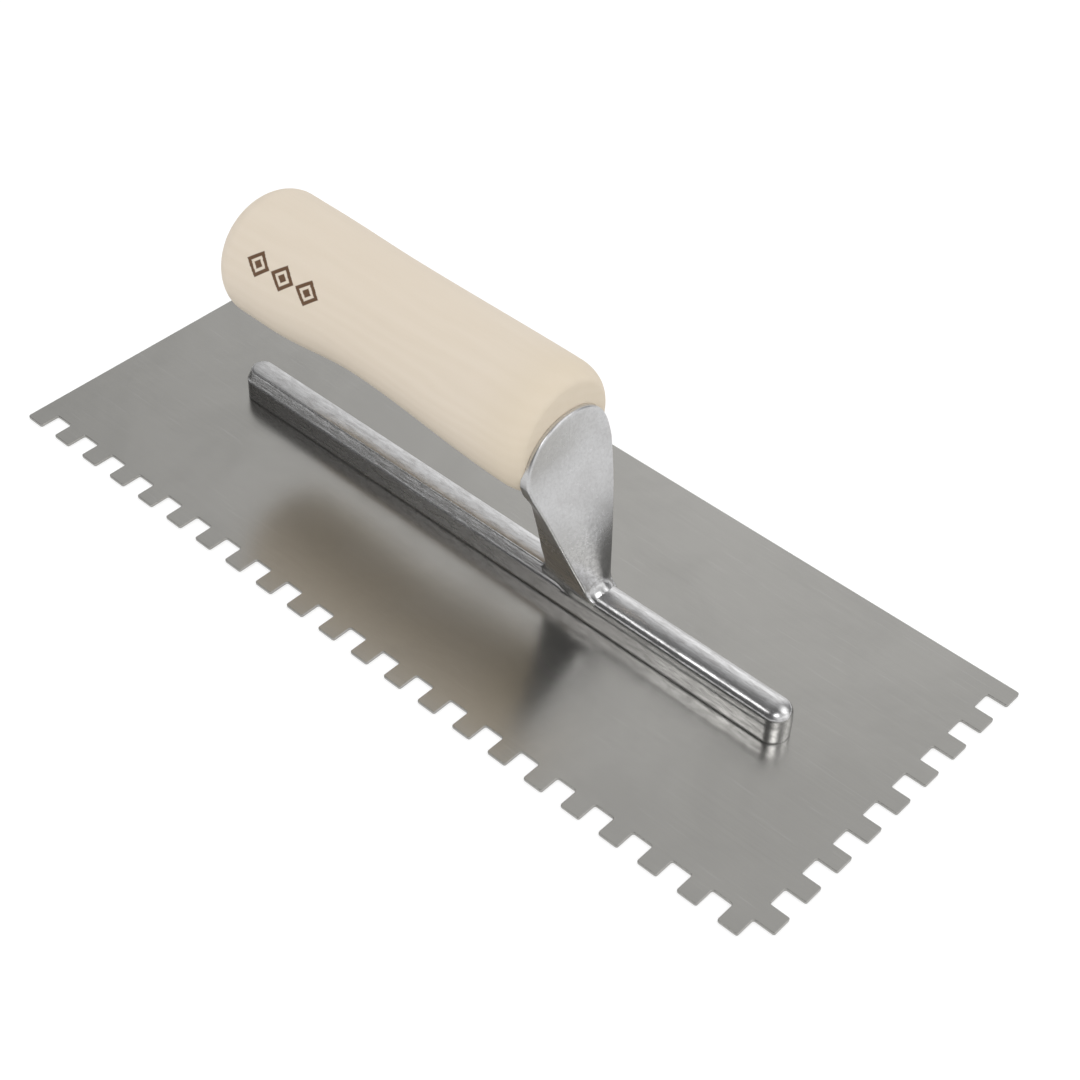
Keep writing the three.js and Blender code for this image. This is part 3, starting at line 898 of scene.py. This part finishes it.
def pale_wood():
    """Sanded pale hardwood: faint year rings that run as long streaks down the sides and as arcs
    over the domed end, fine fibres, short pores, and a brown burnt mark."""
    material, tree, shader = new_material("Pale hardwood", Specular_IOR_Level=0.35)
    place = object_place(tree)
    apart = tree.node("ShaderNodeSeparateXYZ", {0: place}).outputs
    broad = tree.noise(tree.stretched(place, (0.012, 0.05, 0.05)), 1.0)
    bend = tree.math("MULTIPLY", tree.math("SUBTRACT", broad, 0.5), RING_BEND)
    rise = tree.math("ADD", tree.math("ADD", apart[2], bend), PITH_BELOW)
    swing = tree.math("ADD", apart[1], PITH_ASIDE)
    rise_squared = tree.math("POWER", rise, 2.0)
    swing_squared = tree.math("POWER", swing, 2.0)
    from_pith = tree.math("SQRT", tree.math("ADD", rise_squared, swing_squared))
    ring = tree.ramp(tree.math("PINGPONG", from_pith, RING_WIDTH), 0.0, RING_WIDTH)
    fibre = placed(tree, GRAIN, Place=place, Length=30.0, Width=0.45)
    streak = placed(tree, GRAIN, Place=place, Length=120.0, Width=4.0)
    pores = tree.ramp(placed(tree, GRAIN, Place=place, Length=3.2, Width=0.22), 0.66, 0.76)
    cloud = placed(tree, SMUDGES, Place=place, Size=45.0)
    tone = tree.math("MULTIPLY_ADD", ring, 0.3, tree.math("MULTIPLY", streak, 0.5))
    tone = tree.math("MULTIPLY_ADD", fibre, 0.35, tone)
    colour = tree.mix(tone, WOOD_LIGHT, WOOD_DARK)
    colour = tree.mix(tree.math("MULTIPLY", cloud, 0.35), colour, WOOD_CLOUD)
    colour = tree.mix(tree.math("MULTIPLY", pores, 0.12), colour, WOOD_PORE)
    # Painted shade, darker and warmer, on the wood just behind the flange.
    flange_painted_shade = tree.ramp(apart[0], HANDLE_FRONT - FLANGE_SHADE_FROM, HANDLE_FRONT - FLANGE_SHADE_FULLY)
    colour = tree.mix(tree.math("MULTIPLY", flange_painted_shade, 0.3), colour, WOOD_PAINTED_FLANGE_SHADE)
    mark = burnt_mark(tree, place)
    scorch = tree.mix(fibre, SCORCH_DARK, SCORCH_LIGHT)
    colour = tree.mix(tree.math("MULTIPLY", mark, 0.97), colour, scorch)
    rough = tree.math("MULTIPLY_ADD", fibre, 0.12, 0.5)
    height = tree.math("MULTIPLY_ADD", pores, -0.8, tree.math("MULTIPLY", fibre, 0.6))
    height = tree.math("MULTIPLY_ADD", mark, -3.0, height)
    tree.link(colour, shader, "Base Color")
    tree.link(rough, shader, "Roughness")
    tree.link(bump(tree, height, WOOD_BUMP), shader, "Normal")
    return material


def rod_steel():
    """Drawn steel of the rivets and the tang: darker than the blade, with lines along the rod."""
    material, tree, shader = new_material("Drawn steel", Metallic=1.0)
    place = object_place(tree)
    drawn = placed(tree, GRAIN, Place=place, Length=20.0, Width=0.3)
    scratched = placed(tree, SCRATCHES, Place=place, Fineness=1.4)
    colour = tree.mix(drawn, ROD_LIGHT, ROD_DARK)
    colour = tree.mix(tree.math("MULTIPLY", scratched, 0.3), colour, ROD_SCRATCH)
    tree.link(colour, shader, "Base Color")
    tree.link(tree.ramp(drawn, 0.2, 0.8, 0.24, 0.36), shader, "Roughness")
    tree.link(bump(tree, drawn, ROD_BUMP), shader, "Normal")
    return material


# ---- Stage: camera, floor and studio light ----

CAMERA_LENS = 68.4
CAMERA_SENSOR = 36.0
CAMERA_NEAREST = 0.01
CAMERA_PLACE = (0.2836, -0.3128, 0.4060)
CAMERA_SIGHT = (-0.47011294, 0.55093977, -0.68953549)
CAMERA_ROLL = 2.725

FLOOR_HALF = 4000.0
FLOOR_DROP = 0.2
FLOOR_GREY = (0.5, 0.5, 0.5, 1)
# The floor's own glow, and how much more of it the camera sees.
FLOOR_GLOW = 0.35
FLOOR_GLOW_SEEN = 0.27


def make_camera():
    """A camera that looks along its line of sight, rolled a little about it."""
    data = bpy.data.cameras.new("camera")
    data.lens = CAMERA_LENS
    data.sensor_width = CAMERA_SENSOR
    data.clip_start = CAMERA_NEAREST
    camera = bpy.data.objects.new("camera", data)
    bpy.context.scene.collection.objects.link(camera)
    look = Vector(CAMERA_SIGHT).to_track_quat("-Z", "Y").to_matrix()
    rolled = look @ Matrix.Rotation(math.radians(CAMERA_ROLL), 3, "Z")
    camera.matrix_world = Matrix.Translation(CAMERA_PLACE) @ rolled.to_4x4()
    bpy.context.scene.camera = camera


def make_floor():
    """A plain square just under the blade. It glows evenly, so that it reads as white."""
    corners = np.array([(-1, -1), (1, -1), (1, 1), (-1, 1)]) * FLOOR_HALF
    points = np.column_stack([corners, np.full(len(corners), -FLOOR_DROP)])
    floor = new_piece("floor", points, [(0, 1, 2, 3)])
    material, tree, shader = new_material(
        "Pale floor",
        Base_Color=FLOOR_GREY,
        Roughness=1.0,
        Specular_IOR_Level=0.0,
        Emission_Color=(1, 1, 1, 1),
    )
    camera_ray = tree.node("ShaderNodeLightPath").outputs["Is Camera Ray"]
    glow = tree.math("MULTIPLY_ADD", camera_ray, FLOOR_GLOW_SEEN, FLOOR_GLOW)
    tree.link(glow, shader, "Emission Strength")
    floor.data.materials.append(material)


# Soft lobes of studio light as the glossy surfaces see it: direction, how tight the lobe is, and
# its strength.
LIGHT_LOBES = (
    ((-0.45, 0.60, 0.66), 5.5, 0.57),
    ((-0.35, 0.92, 0.25), 13.0, 0.8),
    ((0.50, 0.45, 0.74), 20.0, 1.5),
    ((0.88, 0.30, 0.25), 12.0, 1.2),
    ((-0.34, -0.57, 0.745), 130.0, 3.2),
    ((0.49, -0.44, 0.75), 55.0, 4.6),
    ((0.85, -0.45, 0.25), 9.0, 0.7),
)
LIGHT_BASE = 0.12
# The dome that lights the matt surfaces: its level, and how much brighter it is on one side.
DOME_LEVEL = 0.795
DOME_LEAN = (0.12, -0.02, 0.13)
BACKDROP_LEVEL = 1.0


def make_studio_light():
    """The world is the light. Glossy rays meet a dim base and soft lobes, each
    strength * exp(tightness * (cosine to its direction - 1)). Matt surfaces are lit by an even
    dome, level + lean . direction, and the camera itself sees a plain pale backdrop."""
    world = bpy.data.worlds.new("studio")
    world.use_nodes = True
    bpy.context.scene.world = world
    tree = Tree(world.node_tree)
    background = world.node_tree.nodes["Background"]
    background.inputs["Color"].default_value = (1, 1, 1, 1)
    direction = tree.node("ShaderNodeTexCoord").outputs["Generated"]
    direction = tree.node("ShaderNodeVectorMath", {0: direction}, operation="NORMALIZE").outputs[0]

    def cosine(towards):
        inputs = {0: direction, 1: towards}
        return tree.node("ShaderNodeVectorMath", inputs, operation="DOT_PRODUCT").outputs["Value"]

    total = LIGHT_BASE
    for towards, tightness, strength in LIGHT_LOBES:
        power = tree.math("SUBTRACT", cosine(Vector(towards).normalized()), 1.0)
        power = tree.math("MULTIPLY", power, tightness)
        total = tree.math("MULTIPLY_ADD", tree.math("EXPONENT", power), strength, total)
    dome = tree.math("ADD", cosine(Vector(DOME_LEAN)), DOME_LEVEL)
    ray = tree.node("ShaderNodeLightPath").outputs
    level = tree.node("ShaderNodeMix", {0: ray["Is Diffuse Ray"], 2: total, 3: dome}).outputs[0]
    inputs = {0: ray["Is Camera Ray"], 2: level, 3: BACKDROP_LEVEL}
    level = tree.node("ShaderNodeMix", inputs).outputs[0]
    tree.link(level, background, "Strength")


def make_stage():
    """Everything round the tool. Colours are shown as they are, with no film curve."""
    make_camera()
    make_floor()
    make_studio_light()
    bpy.context.scene.view_settings.view_transform = "Standard"


# ---- Build ----

make_stage()
rod_finish = rod_steel()
blade_piece(blade_steel())
rivet_pieces(rod_finish)
mounting_piece(cast_metal())
handle_piece(pale_wood())
tang_piece(rod_finish)
